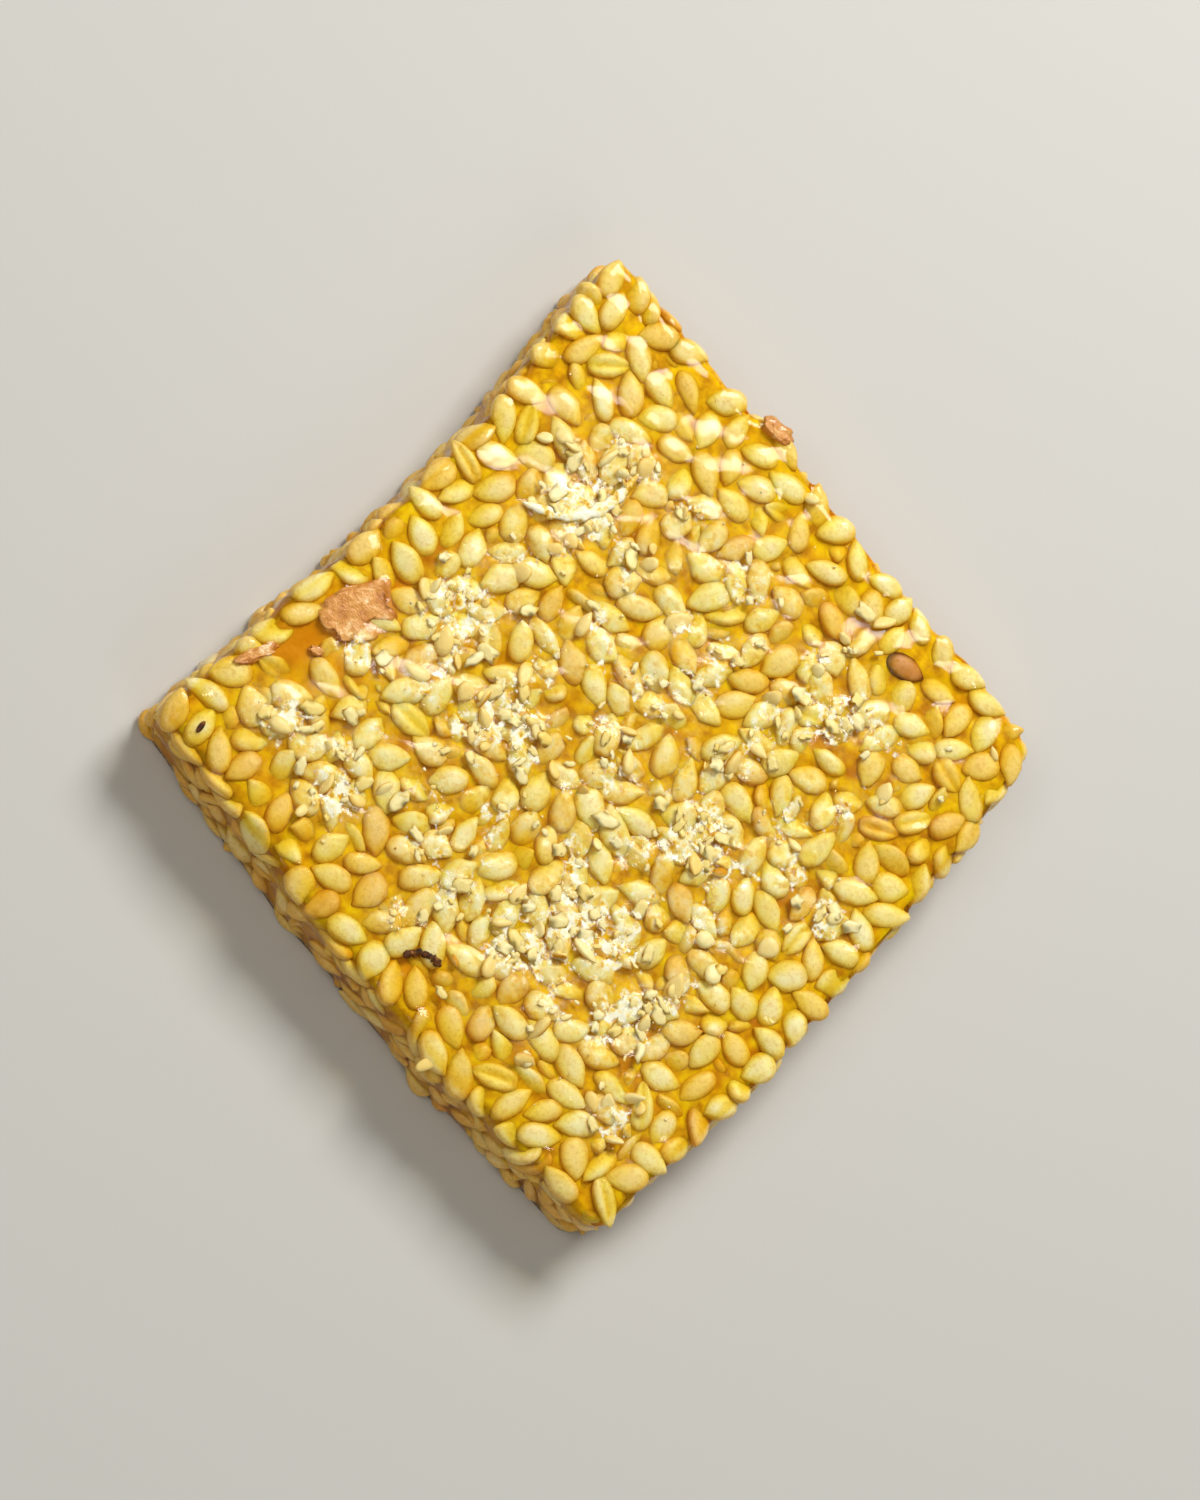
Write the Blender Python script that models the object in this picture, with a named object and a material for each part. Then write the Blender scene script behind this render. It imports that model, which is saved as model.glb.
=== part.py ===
"""Sesame brittle: one knife-cut slab of sesame seeds pressed flat and set in hard syrup.

The slab lies on Z = 0 with its origin under the middle of its box. Its longer side runs
along Y. Run with: blender --background --python part.py
"""

import math

import bmesh
import bpy
from mathutils import Vector, noise

MM = 0.001

# Size of the slab between its cuts, before the cuts' own unevenness
WIDTH = 47.0 * MM
LENGTH = 50.5 * MM
THICKNESS = 6.3 * MM

# The four cuts. Each stands off the straight side of the slab by `start` at one end and
# `end` at the other, bows outward by `bow` in the middle (inward when negative), and has
# knobs where clumps of seeds stick out: (place along the cut, half width, height).
LEFT_CUT = {"start": 0.0, "end": 0.3, "bow": -1.6, "knobs": ((-12.0, 1.8, 0.4), (9.0, 2.4, -0.3))}
RIGHT_CUT = {"start": 0.2, "end": -0.7, "bow": 1.4, "knobs": ((-8.0, 2.6, 0.3), (16.0, 1.8, 0.3))}
FRONT_CUT = {"start": -2.9, "end": 0.0, "bow": 1.1, "knobs": ((8.5, 1.8, 0.5), (-7.0, 2.2, 0.2))}
BACK_CUT = {"start": 0.8, "end": -1.3, "bow": 0.2, "knobs": ((-5.8, 1.6, 1.2), (15.8, 2.2, 0.7))}

# Rounding of the edges: corners seen from above, the top rim and the foot
CORNER_RADIUS = 1.5 * MM
TOP_RADIUS = 0.8 * MM
FOOT_RADIUS = 0.35 * MM

# Unevenness left by rolling and cutting, and the pebbly skin of pressed seeds
TOP_WAVE = 0.28 * MM
TOP_WAVE_SPAN = 13.0 * MM
CUT_RAG = 0.32 * MM
CUT_RAG_SPAN = 3.6 * MM
SEED_RELIEF = 0.26 * MM
SEED_SPACING = 2.3 * MM
BASE_SKIN = 0.6 * MM

# How finely the slab is divided along X, Y and Z
CUTS_X = 45
CUTS_Y = 49
CUTS_Z = 5

SLAB_COLOUR = (0.66, 0.43, 0.12, 1.0)
SLAB_ROUGHNESS = 0.3


def clear_scene():
    for item in list(bpy.data.objects):
        bpy.data.objects.remove(item, do_unlink=True)


def plain_material(name, colour, roughness):
    material = bpy.data.materials.new(name)
    material.use_nodes = True
    shader = material.node_tree.nodes["Principled BSDF"]
    shader.inputs["Base Color"].default_value = colour
    shader.inputs["Roughness"].default_value = roughness
    shader.inputs["Metallic"].default_value = 0.0
    return material


def divide_along(bm, axis, cuts):
    """Divide every edge that runs along one axis."""
    edges = [e for e in bm.edges if abs(e.verts[0].co[axis] - e.verts[1].co[axis]) > 0.5]
    bmesh.ops.subdivide_edges(bm, edges=edges, cuts=cuts, use_grid_fill=True)


def round_edges(place, half, radius):
    """Pull a point of a box's surface onto the box with rounded edges."""
    inner = Vector(max(-h + radius, min(h - radius, c)) for c, h in zip(place, half))
    outward = place - inner
    if outward.length <= radius:
        return place.copy()
    return inner + outward.normalized() * radius


def rounded_place(unit):
    """Place a point of the unit cube on the straight-sided slab with rounded edges."""
    half = Vector((WIDTH, LENGTH, THICKNESS)) / 2.0
    box = Vector(2.0 * c * h for c, h in zip(unit, half))
    solid = round_edges(box, half, TOP_RADIUS if box.z > 0.0 else FOOT_RADIUS)
    flat = Vector((solid.x, solid.y, 0.0))
    plan = round_edges(flat, Vector((half.x, half.y, CORNER_RADIUS)), CORNER_RADIUS)
    return Vector((plan.x, plan.y, solid.z + half.z))


def cut_offset(cut, along, half_length):
    """How far a cut stands outside the slab's straight side at a place along it."""
    t = along / half_length
    offset = cut["start"] + (cut["end"] - cut["start"]) * (t + 1.0) / 2.0
    offset += cut["bow"] * math.cos(t * math.pi / 2.0)
    for centre, half_width, height in cut["knobs"]:
        offset += height * math.exp(-((along / MM - centre) / half_width) ** 2)
    return offset * MM


def follow_cuts(place):
    """Move a point of the straight-sided slab with the four uneven cuts."""
    half_x, half_y = WIDTH / 2.0, LENGTH / 2.0
    to_right = (place.x / half_x + 1.0) / 2.0
    to_back = (place.y / half_y + 1.0) / 2.0
    right = cut_offset(RIGHT_CUT, place.y, half_y) * to_right
    left = cut_offset(LEFT_CUT, place.y, half_y) * (1.0 - to_right)
    back = cut_offset(BACK_CUT, place.x, half_x) * to_back
    front = cut_offset(FRONT_CUT, place.x, half_x) * (1.0 - to_back)
    return place + Vector((right - left, back - front, 0.0))


def seed_bump(place):
    """Height of the pebbly skin, from 0 between seeds to 1 on a seed's middle."""
    nearest = noise.voronoi(place / SEED_SPACING)[0][0]
    return max(0.0, 1.0 - (nearest / 0.75) ** 2)


def uneven(place, normal):
    """Add the waves, the ragged cut and the seeds, and leave the base flat."""
    lift = min(1.0, place.z / BASE_SKIN)
    wave = noise.noise(place / TOP_WAVE_SPAN) * TOP_WAVE * place.z / THICKNESS
    rag = noise.noise(place / CUT_RAG_SPAN) * CUT_RAG * (1.0 - abs(normal.z))
    bump = (seed_bump(place) - 0.5) * SEED_RELIEF
    return place + normal * (rag + bump) * lift + Vector((0.0, 0.0, wave))


def centre_on_base(bm):
    """Put the origin under the middle of the slab's box."""
    xs = [v.co.x for v in bm.verts]
    ys = [v.co.y for v in bm.verts]
    middle = Vector(((min(xs) + max(xs)) / 2.0, (min(ys) + max(ys)) / 2.0, 0.0))
    bmesh.ops.translate(bm, verts=bm.verts, vec=-middle)


def flatten_base(bm):
    """Make the underside one flat face."""
    base = [f for f in bm.faces if all(v.co.z < 1e-6 for v in f.verts)]
    bmesh.ops.dissolve_faces(bm, faces=base, use_verts=True)


def slab_mesh():
    bm = bmesh.new()
    bmesh.ops.create_cube(bm, size=1.0)
    for axis, cuts in enumerate((CUTS_X, CUTS_Y, CUTS_Z)):
        divide_along(bm, axis, cuts)
    for vert in bm.verts:
        vert.co = follow_cuts(rounded_place(vert.co))
    bm.normal_update()
    moved = [uneven(v.co.copy(), v.normal.copy()) for v in bm.verts]
    for vert, place in zip(bm.verts, moved):
        vert.co = place
        vert.co.z = max(0.0, place.z)
    flatten_base(bm)
    centre_on_base(bm)
    mesh = bpy.data.meshes.new("slab")
    bm.to_mesh(mesh)
    bm.free()
    return mesh


def build_slab(collection):
    slab = bpy.data.objects.new("slab", slab_mesh())
    slab.data.materials.append(plain_material("sesame_syrup", SLAB_COLOUR, SLAB_ROUGHNESS))
    slab.data.shade_smooth()
    slab.data.set_sharp_from_angle(angle=math.radians(40.0))
    collection.objects.link(slab)


def main():
    clear_scene()
    collection = bpy.data.collections.new("sesame_brittle_slab")
    bpy.context.scene.collection.children.link(collection)
    build_slab(collection)


main()
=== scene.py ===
"""Looks of a sesame brittle slab: jammed sesame seeds set in clear amber syrup.

Seeds are packed by a small seeded relaxation inside the slab's own shape, then dressed with
a syrup film. Lengths in the packing are in millimetres; pieces are made in metres.
"""

import math

import bmesh
import bpy
import numpy as np
from mathutils import Matrix, Vector, noise
from mathutils.bvhtree import BVHTree


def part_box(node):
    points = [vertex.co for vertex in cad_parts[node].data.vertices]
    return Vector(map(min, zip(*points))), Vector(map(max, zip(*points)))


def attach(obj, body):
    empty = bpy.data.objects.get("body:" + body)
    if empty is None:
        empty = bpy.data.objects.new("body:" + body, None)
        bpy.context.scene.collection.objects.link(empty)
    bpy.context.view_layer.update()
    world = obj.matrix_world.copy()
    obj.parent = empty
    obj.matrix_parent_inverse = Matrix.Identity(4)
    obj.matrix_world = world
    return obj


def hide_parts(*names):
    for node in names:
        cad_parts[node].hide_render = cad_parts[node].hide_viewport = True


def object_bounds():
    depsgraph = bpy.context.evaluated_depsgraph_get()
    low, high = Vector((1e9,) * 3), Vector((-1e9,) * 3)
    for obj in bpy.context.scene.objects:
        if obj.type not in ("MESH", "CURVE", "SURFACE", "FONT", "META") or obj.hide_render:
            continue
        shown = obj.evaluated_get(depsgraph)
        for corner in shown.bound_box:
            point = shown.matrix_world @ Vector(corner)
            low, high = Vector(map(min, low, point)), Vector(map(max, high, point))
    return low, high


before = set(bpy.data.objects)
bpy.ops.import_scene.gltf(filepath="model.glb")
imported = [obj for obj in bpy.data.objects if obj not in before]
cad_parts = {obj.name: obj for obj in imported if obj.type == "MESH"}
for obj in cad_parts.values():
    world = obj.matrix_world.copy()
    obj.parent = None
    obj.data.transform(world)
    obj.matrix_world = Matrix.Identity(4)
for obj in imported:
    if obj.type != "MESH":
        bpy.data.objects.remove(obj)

CAD_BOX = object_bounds()
MM = 0.001
WHITE = (1.0, 1.0, 1.0, 1.0)
BLACK = (0.0, 0.0, 0.0, 1.0)

# A hulled sesame seed in mm, its unevenness, and how much its size differs
SEED_LENGTH = 3.2
SEED_WIDTH = 1.93
SEED_THICKNESS = 0.9
SEED_FLATNESS = 0.66
SEED_THINNING = 0.15
SEED_LUMPS = 0.07
SEED_SPREAD = 0.085
SEED_LIMITS = (0.78, 1.22)
RIM_FROM = 0.62  # where the rim starts, from the middle to the edge of the flat side
RIM_WIDTH = 0.3

# Its shapes: sharpness of the tip, taper, sideways bend in mm, squareness of the butt, and split
SHAPES = ((0.58, 0.06, 0.0, 0.10, 0.0), (0.42, 0.16, 0.10, 0.04, 0.0),
          (0.66, 0.02, -0.08, 0.16, 0.0), (0.50, 0.10, 0.05, 0.20, 0.0),
          (0.34, 0.20, -0.12, 0.0, 0.0), (0.62, 0.08, 0.12, 0.08, 0.0),
          (0.40, 0.05, 0.06, 0.10, 0.55))
SPLIT_SHARE = 0.06  # share of the seeds that are of the last shape, the split one
SPLIT_WIDTH = 0.25
KINDS = ("pale", "cream", "golden", "toasted", "peanut", "gap")
KIND_SHARES = (0.5, 0.44, 0.06)  # shares of the first three kinds
PAN_GAP = 0.1  # what lies lower than this is flattened, as by the pan

# The packing: plan area for each seed in a layer, number of layers and relaxing steps
AREA_PER_SEED = 5.15
LAYERS = 7
RELAX_STEPS = 120
SKIN = 0.12  # room left for the syrup outside the outermost seeds
SIDE_POKE = 0.25  # how far seeds may stick out of the knife-cut sides
GRID = 0.5  # pitch of the grids that describe the slab's space
GRID_MARGIN = 3  # cells of them beyond the slab
TOP_FROM = 0.9  # the top's height is read this far inside the cuts, and a mean outside
RAY_START = 0.05  # height in metres that rays are dropped from

# How seeds are first laid: stretch of the rows, scatter in mm, height of the lowest layer, and
# lean in degrees
ROW_STRETCH = 1.07
LAID_SCATTER = 0.45
LAID_RISE = 0.05
LAID_HEIGHT = 0.47
OUTER_LEAN = 12.0
ROUGH_LEAN = 12.0
INNER_LEAN = 22.0

# How they are pushed apart, with the most shift in mm and turn in radians in a step
PUSH_SHARE = 0.9
MOST_SHIFT = 0.25
MOST_TURN = 0.2
EXTRA_INERTIA = 0.3

# Seeds are drawn finely to the first of these depths and coarsely to the second. The core of
# clouded syrup starts at the third, and is this uneven
FINE_DEPTH = 1.0
DRAWN_DEPTH = 1.6
CORE_DEPTH = 0.52
CORE_SWELL = 0.3
CORE_WAVE = 0.6  # waves of the swell for each mm
CORE_CRUST = 0.25  # share of the crust that the core shows
CORE_BROWN = 0.5  # amber of the core along the cuts and the base

# Syrup
SYRUP_INSET = 0.07  # level of the syrup between seeds, below the slab's surface
SYRUP_COAT = 0.045  # thickness of the syrup over a seed
SYRUP_VOXEL = 0.22
SYRUP_TRIANGLES = 190000
SYRUP_TAKES = np.array([0.3, 0.9, 6.5])  # how fast red, green and blue fade for each mm
SIDE_BROWN = np.array([0.03, 0.12, 0.16])  # how much more of them is taken low on the slab, darker and browner there
EXTRA_COVER = 0.09  # most syrup that a seed has over it besides, in mm
SYRUP_ROUGHNESS = (0.03, 0.13)
SYRUP_WRINKLE = (0.12, 0.28)  # strength of its wrinkles, from smooth places to rough ones

# The rough middle: dry crinkled syrup with bits of seed, starch and sugar grains on it. It
# starts this far from the sides, and is thickest in patches of x, y and radius
ROUGH_FROM = 3.0
ROUGH_FULL = 9.0
# The last patch, at the peanut's lower edge, is partly painted highlight: its white crust stands in
# for glints along that edge, besides real crust.
PATCHES = ((7.1, -10.2, 2.8), (-7.5, -5.5, 2.6), (5.5, -15.1, 2.4), (9.2, -0.3, 2.2),
           (18.5, -19.2, 1.8), (14.5, -12.1, 2.0), (-11.7, -17.9, 2.0), (-17.7, -16.7, 2.2),
           (10.0, 14.0, 1.6), (19.7, 2.8, 1.6), (-2.4, -20.6, 1.4), (-15.0, -1.9, 2.0),
           (-14.1, 10.7, 2.4), (-17.9, -9.2, 1.3))
PATCH_ROUGH = 0.9  # roughness that a patch adds at its centre
MIDDLE_ROUGH = 0.72  # roughness of the middle besides, made uneven by clumps
CLUMPS = 0.35  # clumps for each mm
CLUMP_LEVEL = 0.55
CLUMP_CONTRAST = 1.2
CRINKLE = 0.08  # height of the film's wrinkles in mm
SEED_CRUST = 0.11  # height of the dry crust on the seeds of the middle
SEED_WEAR = 0.28  # how far the seeds of the middle are worn out of shape
THIN_SYRUP = 0.35  # share of the syrup's depth that the rough middle lacks
SMOOTH_BELOW = 0.02  # roughness that makes no relief
SCAB_FROM = 0.24  # the film turns to an opaque scab between these two values of its pattern
SCAB_FULL = 0.35
PATCH_CONTRAST = 3.0  # of the pattern that breaks the crust into patches
PATCH_LEVEL = -0.9

# Bits on the film: how many, how thick they lie where it is smooth, half sizes in mm, how much
# these differ, how they lean and how far they sink in, 1 for half way
FLAKES = (250, 0.0, (0.38, 0.27, 0.05), 0.45, 0.1, 0.7)
GRAINS = (260, 0.04, (0.08, 0.07, 0.04), 0.4, 0.5, 0.9)
BITS = 90  # broken and small seeds
BITS_LOW = 0.05
BIT_SIZES = (0.3, 0.66)  # of a whole seed
BIT_LEAN = 0.45
BIT_SINK = 0.1  # in mm
BIT_STRETCH = (0.75, 1.3)
BIT_TONES = 0.6  # range of tone from bit to bit
CHIP_SHAPES = 4
CHIP_ROUGHNESS = 0.8
PROUD = 0.12  # how far anything may stand over the slab's highest place
SPOT_MARGIN = 0.8  # bits lie at least this far inside the cuts
SPOT_STEEPEST = 0.4  # and where the film's normal has at least this much of up

# One-off features, with x and y in mm and turns in degrees. Held seeds stay where they are put
# while the others settle round them; the peanut holds its place as a seed of its own size, and
# a gap is syrup alone
HELD = ((-23.3, 24.0, 108.0, "cream"), (-21.6, 22.4, 104.0, "cream"),
        (11.3, 20.4, 18.0, "toasted"), (-21.3, -21.3, 98.0, "pale"), (21.3, 14.6, 70.0, "golden"),
        (-13.3, -21.5, 110.0, "golden"), (2.0, -22.9, 135.0, "cream"), (-20.3, -11.6, 74.0, "gap"),
        (-19.4, -7.5, 66.0, "peanut"))
PEANUT_SIZE = (6.0, 3.9, 1.3)
PEANUT_HOLD = (1.95, 2.8, 1.5)  # the peanut's size as a multiple of a seed's
PEANUT_SUNK = 0.03
PEANUT_RIPPLE = 0.12
# Crumbs of peanut: x, y, length, width and turn
PEANUT_BITS = ((-19.4, -11.6, 1.0, 0.6, 20.0), (-7.2, 25.5, 2.4, 1.2, 10.0),
               (-22.1, -14.8, 3.0, 0.8, 70.0))
PEANUT_BIT_HEIGHT = 0.7
# Pools of amber syrup: x, y and radius
AMBER_POOLS = ((-20.8, -11.2, 2.0), (-21.2, -13.4, 1.5), (-18.6, -4.4, 1.5), (0.1, -22.0, 1.4),
               (-16.6, -11.0, 1.2))
AMBER_STRENGTH = 1.2
BURNT_EDGE = (0.9, -21.2)
BURNT_TURN = 31.0
BURNT_BEND = 74.0  # how far the burnt rim curls to each side
HOLE_SHADE = (-21.3, -21.5, 98.0, 0.5)  # a hole in a seed, drawn as a dark inlay of painted shade: x, y, turn and half its length
HUSK = (6.3, -25.8, 5.8)  # place of a loose husk that sticks out of the front edge
HUSK_TURN = 71.0
HUSK_SIZE = (0.8, 0.46, 0.3)
SCAB = ((-16.6, 7.2), (-15.0, 7.9), (-13.4, 9.2), (-12.3, 11.0), (-12.0, 13.0), (-12.2, 15.0))
BAND_SIDES = 8  # corners of their cross sections
BAND_ROWS = 32

# Patterns of the materials: features a metre, detail and, where it isn't 0.5, roughness
CRUST_LUMPS = (1300.0, 4.0, 0.6)
CRUST_PATCHES = (1100.0, 3.0)
SCAB_FLECKS = (2300.0, 4.0, 0.65)
SEED_MOTTLE = (900.0, 3.0)
SEED_SPECKLE = (3200.0, 2.0, 0.7)
SEED_GRAIN = (3600.0, 2.0)
CORE_CLOUDS = (900.0, 3.0)
CORE_STAINS = (300.0, 2.0)
CORE_LUMPS = (700.0, 2.0)
GLOSS_PATCHES = (260.0, 2.0)
COAT_RIPPLES = (2400.0, 3.0, 0.6)
BIT_MOTTLE = (3500.0, 2.0)
BIT_GRAIN = (6000.0, 2.0)
PEANUT_MOTTLE = (650.0, 4.0, 0.65)
PEANUT_LUMPS = (1500.0, 4.0, 0.6)
CHAR_AND_HOLE_SHADE_MOTTLE = (1600.0, 4.0, 0.65)
CHAR_LUMPS = (3000.0, 3.0)
DRIED_LUMPS = (2600.0, 4.0)

rng = np.random.default_rng(11)
noise.seed_set(11)  # without it noise.noise_vector starts from the time


# ---------- slab's space

def slab_outline(bm, height):
    """Unordered segments, in mm, of the slab's outline at one height."""
    geom = bm.verts[:] + bm.edges[:] + bm.faces[:]
    cut = bmesh.ops.bisect_plane(bm, geom=geom, plane_co=(0.0, 0.0, height * MM),
                                 plane_no=(0.0, 0.0, 1.0))["geom_cut"]
    edges = [e for e in cut if isinstance(e, bmesh.types.BMEdge)]
    return np.array([[v.co[:2] for v in e.verts] for e in edges]) / MM


def inside_distance(points, segments):
    """Distance to the outline, positive inside."""
    a, b = segments[:, 0], segments[:, 1]
    ab = b - a
    rel = points[:, None] - a[None]
    t = np.clip((rel * ab).sum(-1) / (ab * ab).sum(-1), 0.0, 1.0)
    distance = np.linalg.norm(rel - t[..., None] * ab, axis=-1).min(1)
    crosses = (a[None, :, 1] > points[:, None, 1]) != (b[None, :, 1] > points[:, None, 1])
    slope = ab[:, 0] / np.where(ab[:, 1] == 0.0, 1.0, ab[:, 1])
    meet_x = a[:, 0] + (points[:, None, 1] - a[:, 1]) * slope
    inside = (crosses & (points[:, None, 0] < meet_x)).sum(1) % 2 == 1
    return np.where(inside, distance, -distance)


def rough_middle(points, side):
    """How rough and dusty the top is over points of the plan, 0 to 1."""
    middle = np.clip((side - ROUGH_FROM) / (ROUGH_FULL - ROUGH_FROM), 0.0, 1.0)
    clumps = np.array([noise.noise(Vector((x * CLUMPS, y * CLUMPS, 5.0))) for x, y in points])
    clumps = np.clip(CLUMP_LEVEL + CLUMP_CONTRAST * clumps, 0.0, 1.0)
    value = MIDDLE_ROUGH * middle * clumps
    for x, y, radius in PATCHES:
        away = (points[:, 0] - x) ** 2 + (points[:, 1] - y) ** 2
        value = value + PATCH_ROUGH * np.exp(-away / radius ** 2)
    return np.clip(value, 0.0, 1.0)


def dropped(tree, x, y):
    """Where a ray straight down at x and y in mm meets a surface, in metres, and its normal."""
    start = Vector((x * MM, y * MM, RAY_START))
    hit, normal, _, _ = tree.ray_cast(start, Vector((0.0, 0.0, -1.0)))
    return hit, normal


class Space:
    """The slab as grids over its plan: distance to its sides, its top's height and roughness."""

    def __init__(self, slab):
        bm = bmesh.new()
        bm.from_mesh(slab.data)
        tree = BVHTree.FromBMesh(bm)
        low, high = (np.array(c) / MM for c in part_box(slab.name))
        segments = slab_outline(bm, high[2] / 2.0)
        bm.free()
        margin = GRID_MARGIN * GRID
        self.low = low
        self.high = high
        self.xs = np.arange(low[0] - margin, high[0] + margin, GRID)
        self.ys = np.arange(low[1] - margin, high[1] + margin, GRID)
        gx, gy = np.meshgrid(self.xs, self.ys, indexing="ij")
        points = np.stack([gx, gy], -1).reshape(-1, 2)
        side = inside_distance(points, segments)
        top = np.full(len(points), np.nan)
        for i in np.flatnonzero(side > TOP_FROM):
            top[i] = dropped(tree, *points[i])[0].z / MM
        top = np.where(np.isnan(top), np.nanmean(top), top)
        self.side = side.reshape(gx.shape)
        self.top = top.reshape(gx.shape)
        self.rough = rough_middle(points, side).reshape(gx.shape)

    def read(self, field, p):
        """Value and slopes of a grid at some points."""
        u = (p[:, 0] - self.xs[0]) / GRID
        v = (p[:, 1] - self.ys[0]) / GRID
        i = np.clip(u.astype(int), 0, field.shape[0] - 2)
        j = np.clip(v.astype(int), 0, field.shape[1] - 2)
        fu, fv = np.clip(u - i, 0, 1), np.clip(v - j, 0, 1)
        f00, f10 = field[i, j], field[i + 1, j]
        f01, f11 = field[i, j + 1], field[i + 1, j + 1]
        value = (f00 * (1 - fu) + f10 * fu) * (1 - fv) + (f01 * (1 - fu) + f11 * fu) * fv
        dx = ((f10 - f00) * (1 - fv) + (f11 - f01) * fv) / GRID
        dy = ((f01 - f00) * (1 - fu) + (f11 - f10) * fu) / GRID
        return value, dx, dy

    def at(self, field, p):
        """Value of a grid at some points."""
        return self.read(field, p)[0]

    def low_down(self, p):
        """1 at points in the lower half of the slab, and 0 near its top."""
        return np.clip(3.0 - 4.0 * p[:, 2] / self.high[2], 0.0, 1.0)

    def roughness(self, p):
        """How rough the surface is at some points: up to 1 on top, and 0 low down."""
        return self.at(self.rough, p) * (1.0 - self.low_down(p))

    def depth(self, p):
        """Depth of points below the slab's nearest surface."""
        under_top = self.at(self.top, p) - p[:, 2]
        from_side = self.at(self.side, p)
        return np.minimum(np.minimum(under_top, p[:, 2]), from_side)

    def capped(self, p):
        """Points with none that stand more than PROUD over the slab's highest place."""
        return np.column_stack([p[:, :2], np.minimum(p[:, 2], self.high[2] + PROUD)])


# ---------- packing

# A seed in the packing is a flat ring of balls in mm: x, y and radius, butt first
BALLS = np.array([
    (-1.12, 0.0, 0.43), (-0.58, 0.52, 0.43), (-0.58, -0.52, 0.43), (0.12, 0.5, 0.43),
    (0.12, -0.5, 0.43), (0.72, 0.26, 0.42), (0.72, -0.26, 0.42), (1.18, 0.0, 0.36),
])
BALL_PLACES = np.column_stack([BALLS[:, :2], np.zeros(len(BALLS))])
BALL_RADII = BALLS[:, 2]
REACH = 1.12  # balls nearer than this are tested for contact
RELIST = 4  # steps between two lists of near balls


def turns(axis, angle):
    """Rotation matrices about one axis, 0 for X to 2 for Z."""
    i, j = ((1, 2), (2, 0), (0, 1))[axis]
    m = np.tile(np.eye(3), (len(angle), 1, 1))
    m[:, i, i] = m[:, j, j] = np.cos(angle)
    m[:, j, i] = np.sin(angle)
    m[:, i, j] = -np.sin(angle)
    return m


def small_turns(omega):
    """Rotation matrices from rotation vectors."""
    angle = np.linalg.norm(omega, axis=1)
    axis = omega / (angle[:, None] + 1e-9)
    w = np.cos(angle / 2)
    x, y, z = (axis * np.sin(angle / 2)[:, None]).T
    rows = [1 - 2 * (y * y + z * z), 2 * (x * y - w * z), 2 * (x * z + w * y),
            2 * (x * y + w * z), 1 - 2 * (x * x + z * z), 2 * (y * z - w * x),
            2 * (x * z - w * y), 2 * (y * z + w * x), 1 - 2 * (x * x + y * y)]
    return np.stack(rows, -1).reshape(-1, 3, 3)


def scattered_layers(space):
    """Centres and rotations of loosely laid seeds, layer on layer."""
    centres = []
    rotations = []
    step = math.sqrt(AREA_PER_SEED)
    height = space.top.mean()
    for layer in range(LAYERS):
        x = np.arange(space.xs[0], space.xs[-1], step * ROW_STRETCH)
        y = np.arange(space.ys[0], space.ys[-1], step / ROW_STRETCH)
        gx, gy = np.meshgrid(x, y, indexing="ij")
        gx = gx + (np.arange(len(y)) % 2) * step / 2
        p = np.stack([gx.ravel(), gy.ravel()], -1) + rng.normal(0, LAID_SCATTER, (gx.size, 2))
        p = p[space.at(space.side, p) > 0.0]
        z = LAID_HEIGHT + (height - 2 * LAID_HEIGHT) * layer / (LAYERS - 1)
        z = z + rng.normal(0, LAID_RISE, len(p))
        lean = np.full(len(p), INNER_LEAN)
        if layer in (0, LAYERS - 1):
            lean = OUTER_LEAN + ROUGH_LEAN * space.at(space.rough, p)
        tilt = rng.normal(0, 1.0, (len(p), 2)) * np.radians(lean)[:, None]
        spin = rng.uniform(0, 2 * math.pi, len(p))
        centres.append(np.column_stack([p, z]))
        rotations.append(turns(0, tilt[:, 0]) @ turns(1, tilt[:, 1]) @ turns(2, spin))
    return np.concatenate(centres), np.concatenate(rotations)


def held_seeds(space):
    """Places, rotations, sizes and kinds of the seeds that are put where listed."""
    kinds = [h[3] for h in HELD]
    sizes = np.array([PEANUT_HOLD if kind == "peanut" else (1.0, 1.0, 1.0) for kind in kinds])
    xy = np.array([h[:2] for h in HELD])
    z = space.at(space.top, xy) - SKIN - sizes[:, 2] * SEED_THICKNESS / 2
    return np.column_stack([xy, z]), turns(2, np.radians([h[2] for h in HELD])), sizes, kinds


def near_pairs(p, owner):
    """Pairs of balls of different seeds that are nearer than REACH."""
    cell = np.floor((p - p.min(0)) / REACH).astype(np.int64) + 1
    n = cell.max(0) + 2
    key = (cell[:, 0] * n[1] + cell[:, 1]) * n[2] + cell[:, 2]
    order = np.argsort(key, kind="stable")
    ranked = key[order]
    around = (-1, 0, 1)
    steps = [(a, b, c) for a in around for b in around for c in around if (a, b, c) >= (0, 0, 0)]
    firsts, seconds = [], []
    for step in steps:
        target = key + (step[0] * n[1] + step[1]) * n[2] + step[2]
        begin = np.searchsorted(ranked, target, "left")
        count = np.searchsorted(ranked, target, "right") - begin
        i = np.repeat(np.arange(len(p)), count)
        run = np.arange(count.sum()) - np.repeat(np.cumsum(count) - count, count)
        j = order[np.repeat(begin, count) + run]
        fits = owner[i] != owner[j]
        if step == (0, 0, 0):
            fits &= i < j
        i, j = i[fits], j[fits]
        close = ((p[i] - p[j]) ** 2).sum(1) < REACH ** 2
        firsts.append(i[close])
        seconds.append(j[close])
    return np.concatenate(firsts), np.concatenate(seconds)


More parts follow.
